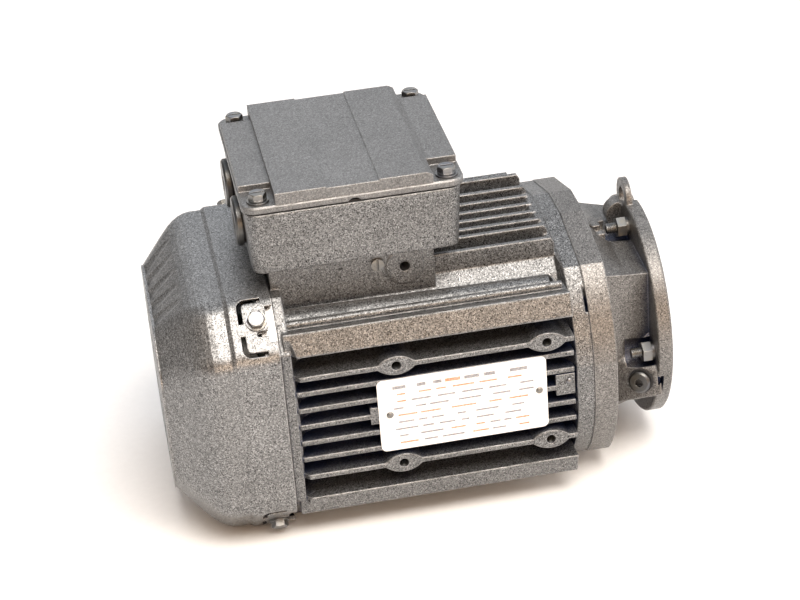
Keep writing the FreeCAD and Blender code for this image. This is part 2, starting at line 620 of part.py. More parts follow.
def cowl_shell(inset, x_open, x_end):
    """Eight-sided can, open at the front, a little narrower behind its step and drawn in at the rear."""
    front = [size - inset for size in (COWL_HALF_Y, COWL_HALF_Z, COWL_FACET)]
    behind = [size - step for size, step in zip(front, COWL_STEP)]
    rear = [size - inset for size in (REAR_HALF_Y, REAR_HALF_Z, REAR_FACET)]
    stations = [(x_end, rear, COWL_SOFT_REAR)]
    # the bend between the drawn-in rear and the straight part is a curve in a few steps
    for i in range(COWL_BEND_STEPS + 1):
        t = i / COWL_BEND_STEPS
        x = COWL_BEND_X + COWL_BEND_HALF * (2 * t - 1)
        share = (COWL_BEND_HALF * (1 - t) ** 2) / (COWL_BEND_X - x_end)
        size = [b + (r - b) * share for b, r in zip(behind, rear)]
        stations.append((x, size, COWL_SOFT_REAR + (COWL_SOFT - COWL_SOFT_REAR) * t))
    stations.append((COWL_STEP_X[0], behind, COWL_SOFT))
    stations += [(x, front, COWL_SOFT) for x in (COWL_STEP_X[1], x_open)]
    wires = [soft_octagon(x, *size, soft) for x, size, soft in stations]
    return join([Part.makeLoft([first, second], True, True) for first, second in zip(wires, wires[1:])])


def grille_slots():
    """Ring-shaped slots in the rear wall, with eight spokes left standing."""
    spokes = []
    for i in range(4):
        bar = block(-271, -263, -50, 50, -2.0, 2.0)
        bar.rotate(V(0, 0, 0), V(1, 0, 0), i * 45 + 22.5)
        spokes.append(bar)
    rings = [tube(r + 4.0, r, -270, -264) for r in (13.0, 20.0, 27.0, 34.0, 41.0)]
    return solids_of(rings).cut(spokes)


def on_facet(shape):
    """Moves a shape drawn over the +Z side, with its own origin at a cowl screw, to the corner facet."""
    copy = shape.copy()
    copy.rotate(V(0, 0, 0), V(1, 0, 0), -45)
    copy.translate(V(*COWL_SCREW))
    return copy


def facet_cuts():
    """Slots round one cowl screw: a C in two halves, the notch beside the screw, and the screw's hole."""
    outer = rounded_block(-8.8, 9, -12.0, 18.7, -4, 4, 4.5).cut(block(3.6, 10, -20, 20, -5, 5))
    inner = rounded_block(-6.4, 9, -9.6, 16.3, -5, 5, 2.4)
    c_slot = outer.cut([inner, block(-12, -5, 0.8, 7.2, -5, 5)])
    # the screw's tab stops short of the cowl's edge, and a notch separates it from the facet below
    tab_end = block(5.2, 12, -7.0, 12.0, -4, 4)
    notch = rounded_block(-0.5, 12, 5.6, 8.6, -4, 4, 1.4)
    hole = Part.makeCylinder(2.8, 8, V(0, 0, -5))
    return [on_facet(s) for s in (c_slot, tab_end, notch, hole)]


def flutes():
    """Five shallow grooves side by side down the drawn-in part of the upper side."""
    radius = 12.0
    behind_z = COWL_HALF_Z - COWL_STEP[1]
    outward = V(REAR_HALF_Z - behind_z, 0, COWL_BEND_X - COWL_X[0]).normalize()
    grooves = []
    for i in range(-2, 3):
        front = V(COWL_BEND_X, i * 18.5, behind_z) + V(outward).multiply(radius + 0.15)
        rear = V(COWL_X[0], i * 14.0, REAR_HALF_Z) + V(outward).multiply(radius - 1.15)
        run = rear - front
        grooves.append(Part.makeCylinder(radius, run.Length * 1.2, front, run))
    return grooves


def fan_cowl():
    outer = cowl_shell(0.0, COWL_X[1], COWL_X[0])
    lip_size = [size + 1.0 for size in (REAR_HALF_Y, REAR_HALF_Z, REAR_FACET)]
    lip = Part.Face(soft_octagon(COWL_X[0], *lip_size, COWL_SOFT_REAR)).extrude(V(1.4, 0, 0))
    inner = cowl_shell(COWL_WALL, COWL_X[1] + 1, COWL_X[0] + 1.8)
    cuts = [inner, grille_slots()]
    for shape in facet_cuts():
        cuts += four_ways(shape)
    return join([outer.cut(flutes()), lip]).cut(cuts)


# ---------------------------------------------------------------- terminal box
def box_shell():
    foot, top = BOX_FOOT, BOX_TOP
    loft = Part.makeLoft([rounded_wire(foot[0], foot[1], -foot[2], foot[2], BOX_Z[0], 6.0),
                          rounded_wire(top[0], top[1], -top[2], top[2], BOX_Z[1], 7.0)], True, True)
    hollow = rounded_block(foot[0] + BOX_WALL, foot[1] - BOX_WALL, -foot[2] + BOX_WALL, foot[2] - BOX_WALL,
                           BOX_Z[0] + BOX_WALL, BOX_Z[1] + 1, 5.0)
    return loft, hollow


def terminal_box():
    loft, hollow = box_shell()
    inside_z = BOX_Z[0] + BOX_WALL
    entries = [-ENTRY_Y, ENTRY_Y]
    posts = [Part.makeCylinder(6.0, BOX_Z[1] - BOX_Z[0], V(x, y, BOX_Z[0])) for x, y in LID_SCREWS]
    posts += [Part.makeCylinder(4.6, BOARD_Z[0] - inside_z, V(x, y, inside_z)) for x, y in BOARD_SCREWS]
    posts += [Part.makeCylinder(15.0, 5.0, V(BOX_FOOT[0] + 2, y, ENTRY_Z), V(1, 0, 0)) for y in entries]
    box = join([loft.cut(hollow)] + [p.common(loft) for p in posts])
    cuts = [Part.makeCylinder(M5_R + GAP, 18, V(x, y, BOX_Z[1] - 17)) for x, y in LID_SCREWS]
    cuts += [Part.makeCylinder(M4_R + GAP, 8, V(x, y, BOARD_Z[0] - 7)) for x, y in BOARD_SCREWS]
    cuts += [Part.makeCylinder(3.0, 8, V(x, y, BOX_Z[0] - 1)) for x, y in BOX_SCREWS]
    cuts += [Part.makeCylinder(ENTRY_R, 14, V(BOX_TOP[0] - 2, y, ENTRY_Z), V(1, 0, 0)) for y in entries]
    cuts.append(block(*PASSAGE_X, -PASSAGE_Y, PASSAGE_Y, BOX_Z[0] - 1, inside_z + 1))
    # shallow notch in the foot, over the earth screw
    cuts.append(Part.makeCylinder(6.0, 4, V(-160.5, -BOX_FOOT[2] - 1, BOX_Z[0] - 4.6), V(0, 1, 0)))
    # flat spot-faces for the entry plugs' sealing rings
    cuts += [Part.makeCylinder(14.5, 3, V(ENTRY_SEAT_X - 3, y, ENTRY_Z), V(1, 0, 0)) for y in entries]
    return box.cut(cuts)


def box_gasket():
    sheet = rounded_block(PLATFORM_X[0] + 0.5, PLATFORM_X[1] - 0.5, -PLATFORM_Y + 0.6, PLATFORM_Y - 0.6,
                          PLATFORM_Z, BOX_Z[0], 3.0)
    cuts = [block(*PASSAGE_X, -PASSAGE_Y, PASSAGE_Y, PLATFORM_Z - 1, BOX_Z[0] + 1)]
    cuts += [Part.makeCylinder(3.0, 4, V(x, y, PLATFORM_Z - 1)) for x, y in BOX_SCREWS]
    return sheet.cut(cuts)


def lid_gasket():
    x0, x1, half, width = LID_X[0] + 1.6, BOX_TOP[1] - 1.0, LID_Y - 1.2, 2.6
    ring = rounded_block(x0, x1, -half, half, BOX_Z[1], LID_Z, 6.0)
    inside = rounded_block(x0 + width, x1 - width, width - half, half - width, BOX_Z[1] - 1, LID_Z + 1, 5.0)
    posts = [Part.makeCylinder(5.6, LID_Z - BOX_Z[1], V(x, y, BOX_Z[1])) for x, y in LID_SCREWS]
    holes = [Part.makeCylinder(3.2, 4, V(x, y, BOX_Z[1] - 1)) for x, y in LID_SCREWS]
    return join([ring.cut(inside)] + [p.common(ring) for p in posts]).cut(holes)


def lid_pocket(x, y):
    """Space over the lid screw at x, y, open to the lid's corner."""
    rear = (LID_X[0] - 1, LID_CENTRE_X[0])
    front = (LID_CENTRE_X[1] + 3.0, LID_X[1] + 1)
    x_range = rear if x < LID_CHANNEL_X[0] else front
    y_range = (LID_POCKET_Y[1], LID_Y + 1) if y > 0 else (-LID_Y - 1, LID_POCKET_Y[0])
    return x_range, y_range


def prism_y(points, half):
    """An (x, z) outline carried across Y, from -half to half."""
    return flat_face([V(x, -half, z) for x, z in points]).extrude(V(0, 2 * half, 0))


def lid_block(inset, z0, z1, r):
    """Rounded block of the lid's plan, smaller all round by inset."""
    return rounded_block(LID_X[0] + inset, LID_X[1] - inset, inset - LID_Y, LID_Y - inset, z0, z1, r)


def box_lid():
    """Cast lid: a low strip at the rear, a raised middle with a shallow channel, four screw pockets."""
    channel_z = LID_TOP_Z - 0.7
    profile = [(LID_X[0], LID_Z), (LID_X[0], LID_STRIP_Z), (LID_CENTRE_X[0], LID_STRIP_Z),
               (LID_CENTRE_X[0], LID_TOP_Z), (LID_CHANNEL_X[0], LID_TOP_Z), (LID_CHANNEL_X[0], channel_z),
               (LID_CHANNEL_X[1], channel_z), (LID_CHANNEL_X[1], LID_TOP_Z), (LID_CENTRE_X[1], LID_TOP_Z),
               (LID_CENTRE_X[1] + 4.0, LID_RIGHT_Z), (LID_X[1], LID_RIGHT_Z), (LID_X[1], LID_Z)]
    upper = prism_y(profile, LID_Y + 1).common(lid_block(0.6, LID_Z - 1, LID_TOP_Z + 1, 6.4))
    body = join([lid_block(0.0, LID_Z, LID_EDGE_Z, 7.0), upper])
    hollow = lid_block(6.0, LID_Z - 1, LID_EDGE_Z + 1, 4.0)
    hollow = hollow.fuse(block(LID_CENTRE_X[0] + 3, LID_CENTRE_X[1] - 3, -LID_Y + 7, LID_Y - 7,
                               LID_Z - 1, LID_TOP_Z - 3.2))
    cuts = [Part.makeCylinder(4.2, 4, V(-160.7, -LID_Y - 1, LID_Z - 2.6), V(0, 1, 0))]
    for x, y in LID_SCREWS:
        x_range, y_range = lid_pocket(x, y)
        cuts.append(block(*x_range, *y_range, LID_FLOOR_Z, LID_TOP_Z + 1))
        # solid metal stays under each pocket
        under = block(x_range[0] - 2, x_range[1] + 2, y_range[0] - 2, y_range[1] + 2, LID_Z - 2, LID_TOP_Z)
        hollow = hollow.cut(under)
    cuts.append(hollow)
    cuts += [Part.makeCylinder(3.0, 12, V(x, y, LID_Z - 2)) for x, y in LID_SCREWS]
    return body.cut(cuts)


def entry_plug():
    """Blanking plug for a cable entry: round head with a hexagon socket, drawn along +Z."""
    head = Part.makeCylinder(13.0, 2.4).fuse(Part.makeCone(13.0, 12.0, 1.0, V(0, 0, 2.4)))
    body = join([head, Part.makeCylinder(ENTRY_R - GAP, 7.0, V(0, 0, -7.0))])
    return body.cut([place(hex_prism(8.0, 5.0), (0, 0, 0.4)), Part.makeCylinder(6.5, 5.0, V(0, 0, -7.5))])


def terminal_hardware():
    z0, z1 = BOARD_Z
    rear, front = BOARD_X
    base = rounded_block(rear, front, -BOARD_Y, BOARD_Y, z0, z1 - 3, 3.0)
    raised = block(rear + 10, front - 10, 1 - BOARD_Y, BOARD_Y - 1, z1 - 4, z1)
    walls = [block(rear + 12, front - 12, y - 0.9, y + 0.9, z1 - 4, z1 + 5) for y in (-27.2, -9.0, 9.0, 27.2)]
    board = join([base, raised] + walls)
    cuts = [Part.makeCylinder(M5_R + GAP, 20, V(x, y, z0 - 1)) for x, y in BOARD_STUDS]
    cuts += [Part.makeCylinder(2.3, 20, V(x, y, z0 - 1)) for x, y in BOARD_SCREWS]
    NODES["terminal_board"] = board.cut(cuts)
    stud = join([Part.makeCylinder(2.5, 15.0, V(0, 0, z0 + 1)), Part.makeCylinder(2.5, 1.2, V(0, 0, z0))])
    NODES["terminal_studs"] = solids_of(place(stud, (x, y, 0)) for x, y in BOARD_STUDS)
    link = rounded_block(-164.5, -133.5, -4.2, 4.2, z1, z1 + 1.2, 4.0)
    link = link.cut([Part.makeCylinder(2.7, 4, V(x, 0, z1 - 1)) for x in (-160.0, -138.0)])
    NODES["terminal_links"] = solids_of(place(link, (0, y, 0)) for y in (-18.0, 0.0, 18.0))
    nut = hex_nut(8.0, 4.0, M5_R + GAP)
    NODES["terminal_nuts"] = solids_of(place(nut, (x, y, z1 + 1.2)) for x, y in BOARD_STUDS)
    screw = cap_screw(3.5, 3.2, 2.0, 10.5, 3.0)
    NODES["board_screws"] = solids_of(place(screw, (x, y, z1 - 3)) for x, y in BOARD_SCREWS)


# ---------------------------------------------------------------- fasteners and small pieces
def fasteners():
    screw = hex_screw(8.0, 4.4, 5.4, 1.1, 2.5, 9.0)
    NODES["cowl_screws"] = solids_of(four_ways(place(screw, COWL_SCREW, FACET_OUT)))

    y, z = shield_screw_yz()
    screw = place(cap_screw(5.0, 5.0, 2.5, 25.0, 4.0), (RIM_X[0] + 7, y, z), (1, 0, 0))
    NODES["front_shield_screws"] = solids_of(four_ways(screw))
    screw = place(cap_screw(4.25, 5.0, 2.5, 24.0, 4.0), (HOUSING_X[0] - 7.5, *REAR_SCREW_YZ), (-1, 0, 0))
    NODES["rear_shield_screws"] = solids_of(four_ways(screw))

    stud = join([rod(STUD_R, -19.5, -0.2), rod(STUD_R - 0.6, -20.3, -19.5)])
    at = stud_positions()
    NODES["flange_studs"] = solids_of(place(stud, (0, y, z)) for y, z in at)
    washer_t = 1.6
    washer = ring_z(4.9, STUD_R + GAP, washer_t).cut(block(-0.6, 0.6, 2, 6, -1, 3))
    NODES["flange_spring_washers"] = solids_of(place(washer, (-FLANGE_T, y, z), (-1, 0, 0)) for y, z in at)
    nut = hex_nut(10.0, 5.0, STUD_R + GAP)
    NODES["flange_nuts"] = solids_of(place(nut, (-FLANGE_T - washer_t, y, z), (-1, 0, 0)) for y, z in at)

    screw = hex_screw(8.0, 3.9, 4.6, 0.9, 2.5, 17.0)
    screw = screw.cut(block(-3.2, 3.2, -0.5, 0.5, 3.0, 6))
    washer_t = 1.0
    NODES["lid_screws"] = solids_of(place(screw, (x, y, LID_FLOOR_Z + washer_t)) for x, y in LID_SCREWS)
    washer = ring_z(5.7, M5_R + GAP, washer_t)
    NODES["lid_washers"] = solids_of(place(washer, (x, y, LID_FLOOR_Z)) for x, y in LID_SCREWS)
    screw = cap_screw(4.25, 5.0, 2.5, 16.0, 4.0)
    NODES["box_screws"] = solids_of(place(screw, (x, y, BOX_Z[0] + BOX_WALL)) for x, y in BOX_SCREWS)

    ring_t = 1.2
    ring = ring_z(11.6, ENTRY_R, ring_t)
    plug = entry_plug()
    entries = [-ENTRY_Y, ENTRY_Y]
    kinds = (("entry_plug_rings", ring, ENTRY_SEAT_X), ("entry_plugs", plug, ENTRY_SEAT_X - ring_t))
    for name, piece, x in kinds:
        NODES[name] = solids_of(place(piece, (x, y, ENTRY_Z), (-1, 0, 0)) for y in entries)

    slotted = join([Part.makeCylinder(3.4, 1.6), Part.makeCylinder(2.0, 7.0, V(0, 0, -7.0))])
    slotted = slotted.cut(block(-0.5, 0.5, -4, 4, 0.7, 3))
    x, z = PLATFORM_SCREW_AT
    NODES["platform_screw"] = place(slotted, (x, -PLATFORM_Y, z), (0, -1, 0))

    ring_t, head_r, head_h = 1.0, 5.9, 2.6
    NODES["drain_plug_ring"] = place(ring_z(6.6, DRAIN_R + GAP, ring_t), DRAIN_POS, DRAIN_DIR)
    plug = join([Part.makeCylinder(head_r, head_h), Part.makeCylinder(DRAIN_R, 9.0, V(0, 0, -9.0)),
                 Part.makeCone(head_r, head_r - 1.0, 1.0, V(0, 0, head_h))])
    plug = plug.cut(place(hex_prism(4.0, 4.0), (0, 0, 1.0)))
    NODES["drain_plug"] = place(plug, V(*DRAIN_POS) + V(*DRAIN_DIR).multiply(ring_t), DRAIN_DIR)

    plate = Part.Face(rounded_wire(*PLATE_X, *PLATE_Z, 0, 3.0)).extrude(V(0, 0, PLATE_T))
    plate = plate.cut([Part.makeCylinder(1.3, 3, V(x, z, -1)) for x, z in PLATE_PINS])
    plate.rotate(V(0, 0, 0), V(1, 0, 0), 90)
    plate.translate(V(0, -PLATE_TIP, 0))
    NODES["rating_plate"] = plate
    pin = join([Part.makeCylinder(1.2, 6.5, V(0, 0, -6.5)), Part.makeSphere(2.2, V(0, 0, -1.1)).common(
        block(-3, 3, -3, 3, 0, 3))])
    heights = [PLATE_T + GAP, PLATE_T + GAP, GAP]
    NODES["plate_pins"] = solids_of(place(pin, (x, -PLATE_TIP - h, z), (0, -1, 0))
                                    for (x, z), h in zip(PLATE_PINS, heights))


# ---------------------------------------------------------------- the whole motor
def build():
    NODES["stator_housing"] = stator_housing()
    NODES["flange_end_shield"] = flange_end_shield()
    NODES["rear_end_shield"] = rear_end_shield()
    NODES["stator_core"] = stator_core()
    NODES["stator_winding"] = stator_winding()
    NODES["rotor_core"] = rotor_core()
    NODES["rotor_cage"] = rotor_cage()
    NODES["motor_shaft"] = motor_shaft()
    bearing("front_bearing", FRONT_BEARING)
    bearing("rear_bearing", REAR_BEARING)
    seat_x, width, shaft_r, seat_r = FRONT_BEARING[:4]
    NODES["front_shaft_circlip"] = circlip(shaft_r - 0.6, shaft_r + 2.4, seat_x + width + 0.05,
                                           seat_x + width + 1.25, 0.2)
    NODES["front_seat_circlip"] = circlip(seat_r - 2.6, seat_r + 1.5, seat_x - 1.35, seat_x - 0.05, 0.25)
    NODES["wave_washer"] = wave_washer()
    NODES["shaft_oil_seal"] = oil_seal()
    NODES["rear_seal_ring"] = rear_seal_ring()
    NODES["fan"] = fan()
    NODES["fan_key"] = block(FAN_X[0] + 2, FAN_X[1] - 2, -2.45, 2.45, STUB_R - 3, STUB_R + 2)
    NODES["fan_circlips"] = solids_of(circlip(STUB_R - 0.45, STUB_R + 2.6, x + 0.05, x + 0.95, 0.2)
                                      for x in (FAN_X[0] - 1.0, FAN_X[1]))
    NODES["fan_cowl"] = fan_cowl()
    NODES["terminal_box"] = terminal_box()
    NODES["box_gasket"] = box_gasket()
    NODES["box_lid"] = box_lid()
    NODES["lid_gasket"] = lid_gasket()
    terminal_hardware()
    fasteners()


build()
os.makedirs("parts", exist_ok=True)
for name, shape in NODES.items():
    shape.exportStep("parts/" + name + ".step")
    print(name, "solids", len(shape.Solids), "valid", shape.isValid(), "cm3", round(shape.Volume / 1000, 2))
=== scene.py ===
# Looks of the three-phase squirrel-cage motor: materials, threads, plate marks, light and camera.
# Metres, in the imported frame: the shaft lies along X, the flange faces +X, the terminal box is up (+Z).
import math
import random

import bpy
from mathutils import Matrix, Vector


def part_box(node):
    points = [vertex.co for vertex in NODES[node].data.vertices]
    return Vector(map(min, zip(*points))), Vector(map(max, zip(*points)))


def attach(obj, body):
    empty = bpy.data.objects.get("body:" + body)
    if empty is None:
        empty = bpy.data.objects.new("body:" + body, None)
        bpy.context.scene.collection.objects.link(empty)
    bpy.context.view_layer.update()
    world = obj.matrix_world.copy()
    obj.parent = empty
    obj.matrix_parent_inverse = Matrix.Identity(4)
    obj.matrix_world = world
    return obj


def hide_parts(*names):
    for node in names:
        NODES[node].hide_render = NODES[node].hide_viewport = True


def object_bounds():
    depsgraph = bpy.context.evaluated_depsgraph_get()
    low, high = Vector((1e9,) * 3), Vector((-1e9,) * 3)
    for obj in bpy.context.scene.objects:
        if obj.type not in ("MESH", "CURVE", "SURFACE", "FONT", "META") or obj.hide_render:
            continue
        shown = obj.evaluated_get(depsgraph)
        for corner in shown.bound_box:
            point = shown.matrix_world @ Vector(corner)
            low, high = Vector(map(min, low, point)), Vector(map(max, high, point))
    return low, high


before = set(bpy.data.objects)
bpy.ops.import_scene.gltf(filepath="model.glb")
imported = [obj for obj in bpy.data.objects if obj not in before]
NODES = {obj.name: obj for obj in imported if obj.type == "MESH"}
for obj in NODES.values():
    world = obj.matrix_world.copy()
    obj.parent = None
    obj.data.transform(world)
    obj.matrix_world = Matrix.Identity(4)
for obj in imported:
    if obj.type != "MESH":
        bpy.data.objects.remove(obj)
CAD_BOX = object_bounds()
MM = 0.001
STUD_CIRCLE_R = 49.0 * MM
STUD_TURN = 3.5                         # degrees that the studs stand round from upright
BOSS_X, BOSS_Y, BOSS_Z = (-150.0 * MM, -71.8 * MM), 77.5 * MM, 29.2 * MM
EARTH_HOLE = (-137.0 * MM, -45.7 * MM, 68.0 * MM)
TOP_FINS_FROM = 41.5 * MM               # above this height the gaps between the fins face upwards
PAINTED_GAP_SHADE = (0.010, 0.021, 0.070)      # painted shade: near-black navy put into the paint colour deep between the side fins, where shade falls
FLOOR_GAP = 0.2 * MM


# ---------------------------------------------------------------- node helpers
def colour_ramp(tree, fac, stops):
    """Colour ramp node; each stop is (position, grey value or colour)."""
    node = tree.nodes.new("ShaderNodeValToRGB")
    tree.links.new(fac, node.inputs[0])
    points = node.color_ramp.elements
    while len(points) < len(stops):
        points.new(0.5)
    for point, (position, colour) in zip(points, stops):
        point.position = position
        point.color = (*colour, 1.0) if isinstance(colour, tuple) else (colour, colour, colour, 1.0)
    return node.outputs[0]


def mix_colours(tree, blend):
    """Mix node for colours, blended in the given way."""
    node = tree.nodes.new("ShaderNodeMix")
    node.data_type = "RGBA"
    node.blend_type = blend
    return node


class Shader:
    """A material under construction: short calls that add nodes and join them up."""

    def __init__(self, name):
        self.material = bpy.data.materials.new(name)
        self.material.use_nodes = True
        self.tree = self.material.node_tree
        self.tree.nodes.clear()
        self.out = self.tree.nodes.new("ShaderNodeOutputMaterial")
        self.bsdf = self.tree.nodes.new("ShaderNodeBsdfPrincipled")
        self.tree.links.new(self.bsdf.outputs[0], self.out.inputs[0])
        self.place = self.tree.nodes.new("ShaderNodeTexCoord").outputs["Object"]

    def put(self, socket, value):
        """Joins an output to an input, or sets the input to a plain value."""
        if isinstance(value, bpy.types.NodeSocket):
            self.tree.links.new(value, socket)
        elif value is not None:
            socket.default_value = value

    def set(self, **inputs):
        for key, value in inputs.items():
            self.put(self.bsdf.inputs[key.replace("_", " ")], value)

    def coords(self, scale=(1, 1, 1), turn=(0, 0, 0)):
        node = self.tree.nodes.new("ShaderNodeMapping")
        node.inputs["Scale"].default_value = scale
        node.inputs["Rotation"].default_value = turn
        self.put(node.inputs["Vector"], self.place)
        return node.outputs[0]

    def noise(self, scale, detail=2.0, rough=0.5, vector=None):
        node = self.tree.nodes.new("ShaderNodeTexNoise")
        self.put(node.inputs["Vector"], vector or self.place)
        node.inputs["Scale"].default_value = scale
        node.inputs["Detail"].default_value = detail
        node.inputs["Roughness"].default_value = rough
        return node.outputs["Fac"]

    def cells(self, scale, feature="F1"):
        node = self.tree.nodes.new("ShaderNodeTexVoronoi")
        node.feature = feature
        node.inputs["Scale"].default_value = scale
        self.put(node.inputs["Vector"], self.place)
        return node

    def bands(self, vector, distortion=0.0):
        """Bands across X."""
        node = self.tree.nodes.new("ShaderNodeTexWave")
        node.bands_direction = "X"
        node.inputs["Scale"].default_value = 1.0
        node.inputs["Distortion"].default_value = distortion
        node.inputs["Detail"].default_value = 1.0
        self.put(node.inputs["Vector"], vector)
        return node.outputs["Fac"]

    def ramp(self, fac, *stops):
        return colour_ramp(self.tree, fac, stops)

    def mix(self, fac, a, b, blend="MIX"):
        node = mix_colours(self.tree, blend)
        self.put(node.inputs[0], fac)
        for socket, value in ((node.inputs[6], a), (node.inputs[7], b)):
            self.put(socket, (*value, 1.0) if isinstance(value, tuple) else value)
        return node.outputs[2]

    def calc(self, operation, a, b=None):
        node = self.tree.nodes.new("ShaderNodeMath")
        node.operation = operation
        self.put(node.inputs[0], a)
        self.put(node.inputs[1], b)
        return node.outputs[0]

    def edges(self, radius):
        """Normal with its edges rounded by radius, and a mask that is 1 along those edges."""
        bevel = self.tree.nodes.new("ShaderNodeBevel")
        bevel.samples = 6
        bevel.inputs["Radius"].default_value = radius
        flat = self.tree.nodes.new("ShaderNodeNewGeometry").outputs["Normal"]
        dot = self.tree.nodes.new("ShaderNodeVectorMath")
        dot.operation = "DOT_PRODUCT"
        self.put(dot.inputs[0], bevel.outputs[0])
        self.put(dot.inputs[1], flat)
        return bevel.outputs[0], self.ramp(dot.outputs["Value"], (0.72, 1.0), (0.93, 0.0))

    def shade(self, distance, low, high):
        """1 in the open and 0 deep in slots and corners."""
        node = self.tree.nodes.new("ShaderNodeAmbientOcclusion")
        node.samples = 6
        node.inputs["Distance"].default_value = distance
        return self.ramp(node.outputs["AO"], (low, 0.0), (high, 1.0))

    def raised(self, low, high, share):
        """0 below the height low, rising to share above the height high; heights in metres, under 0.1."""
        split = self.tree.nodes.new("ShaderNodeSeparateXYZ")
        self.put(split.inputs[0], self.place)
        return self.ramp(self.calc("MULTIPLY", split.outputs["Z"], 10.0), (low * 10, 0.0), (high * 10, share))

    def bump(self, height, distance, strength=1.0, normal=None):
        node = self.tree.nodes.new("ShaderNodeBump")
        node.inputs["Distance"].default_value = distance
        node.inputs["Strength"].default_value = strength
        self.put(node.inputs["Height"], height)
        self.put(node.inputs["Normal"], normal)
        return node.outputs[0]


def grey(value, warm=0.0):
    return (value * (1 + warm), value, value * (1 - warm))


# ---------------------------------------------------------------- materials
def silver_paint(name, tone, warm, speckle, grain, rough, depth, edge_radius, shade_reach):
    """Aluminium paint: bright flakes in grey lacquer over a sand-cast or sheet surface."""
    s = Shader(name)
    normal, edge = s.edges(edge_radius)
    flakes = s.cells(grain).outputs["Color"]
    flake = s.ramp(flakes, (0.05, 1.0 - speckle), (0.45, 0.96), (0.62, 1.04), (0.95, 1.0 + 1.3 * speckle))
    cloud = s.ramp(s.noise(28, 4, 0.6), (0.3, 0.90), (0.7, 1.08))
    body = s.mix(1.0, s.mix(1.0, flake, grey(tone, warm), "MULTIPLY"), cloud, "MULTIPLY")
    # Worn edges and painted highlight: the colour is lighter along the rounded edges, partly wear of the
    # paint and partly a painted highlight.
    wear_and_edge_highlight = s.calc("MULTIPLY", edge, s.ramp(s.noise(160, 3, 0.6), (0.35, 0.25), (0.65, 0.95)))
    body = s.mix(wear_and_edge_highlight, body, grey(min(1.0, tone * 2.9), warm * 0.5))
    # Painted shade: the colour goes to near-black navy deep in slots and between the side fins (ambient
    # occlusion), and is lifted above TOP_FINS_FROM, where the top fins face the light.
    open_above = s.raised(TOP_FINS_FROM, TOP_FINS_FROM + 2.5 * MM, 0.95)
    lit = s.calc("MAXIMUM", s.shade(shade_reach, 0.20, 0.66), open_above)
    body = s.mix(lit, PAINTED_GAP_SHADE, body)
    rough_map = s.ramp(s.noise(grain * 0.5, 2, 0.5), (0.3, rough - 0.08), (0.7, rough + 0.10))
    fine = s.noise(grain * 0.9, 2, 0.6)
    cast = s.noise(260, 4, 0.65)
    height = s.calc("ADD", fine, s.calc("MULTIPLY", cast, 1.4))
    s.set(Base_Color=body, Metallic=0.68, Roughness=rough_map, Normal=s.bump(height, depth, 0.9, normal))
    return s.material


def machined(name, tone, warm, rough, lines, tint=None):
    """Turned or drawn metal: fine tool marks round X, slight stains and brighter edges."""
    s = Shader(name)
    normal, edge = s.edges(0.0003)
    marks = s.noise(1.0, 2, 0.6, s.coords((lines, 30, 30)))
    stain = s.noise(90, 4, 0.6)
    stained = tint or grey(tone * 0.72, warm + 0.03)
    body = s.mix(s.ramp(stain, (0.35, 0.0), (0.7, 1.0)), grey(tone, warm), stained)
    body = s.mix(s.ramp(marks, (0.3, 0.0), (0.7, 0.35)), body, grey(tone * 1.25, warm))
    body = s.mix(s.calc("MULTIPLY", edge, 0.6), body, grey(min(0.95, tone * 1.5), warm * 0.5))
    # Painted shade: the colour goes near-black in slots and corners (ambient occlusion).
    body = s.mix(s.shade(0.004, 0.15, 0.75), (0.018, 0.020, 0.028), body)
    rough_map = s.ramp(marks, (0.25, rough - 0.07), (0.75, rough + 0.12))
    s.set(Base_Color=body, Metallic=1.0, Roughness=rough_map, Normal=s.bump(marks, 0.00002, 0.7, normal))
    return s.material


def zinc_plate(name, tone, rough):
    """Dull zinc: grey metal with faint straw and blue patches and small scratches."""
    s = Shader(name)
    normal, edge = s.edges(0.00035)
    patch = s.noise(120, 3, 0.6)
    tints = ((0.88, 0.90, 1.0), (1.0, 1.0, 0.98), (1.12, 1.02, 0.86))
    cool, plain, straw = (tuple(tone * c for c in tint) for tint in tints)
    body = s.ramp(patch, (0.30, cool), (0.5, plain), (0.72, straw))
    scratch = s.noise(1.0, 3, 0.6, s.coords((900, 2600, 700), (0.4, 0.7, 0.3)))
    body = s.mix(s.ramp(scratch, (0.62, 0.0), (0.70, 0.6)), body, grey(tone * 0.55))
    body = s.mix(s.calc("MULTIPLY", edge, 0.6), body, grey(tone * 1.9))
    # Painted shade: the colour goes near-black in slots and corners (ambient occlusion).
    body = s.mix(s.shade(0.004, 0.10, 0.60), (0.014, 0.016, 0.024), body)
    s.set(Base_Color=body, Metallic=1.0, Roughness=s.ramp(scratch, (0.3, rough - 0.08), (0.7, rough + 0.10)),
          Normal=s.bump(scratch, 0.00003, 0.6, normal))
    return s.material


def laminations(name):
    """Stacked electrical sheet: half-millimetre edges, blued by annealing."""
    s = Shader(name)
    sheet = s.bands(s.coords((500.0, 1, 1)))
    stain = s.noise(70, 4, 0.6)
    body = s.mix(s.ramp(stain, (0.35, 0.0), (0.7, 1.0)), (0.16, 0.17, 0.20), (0.25, 0.20, 0.16))
    body = s.mix(s.ramp(sheet, (0.0, 0.7), (0.25, 0.0)), body, (0.03, 0.03, 0.035))
    s.set(Base_Color=body, Metallic=0.85, Roughness=s.ramp(stain, (0.3, 0.38), (0.7, 0.6)),
          Normal=s.bump(sheet, 0.00006, 0.8))
    return s.material


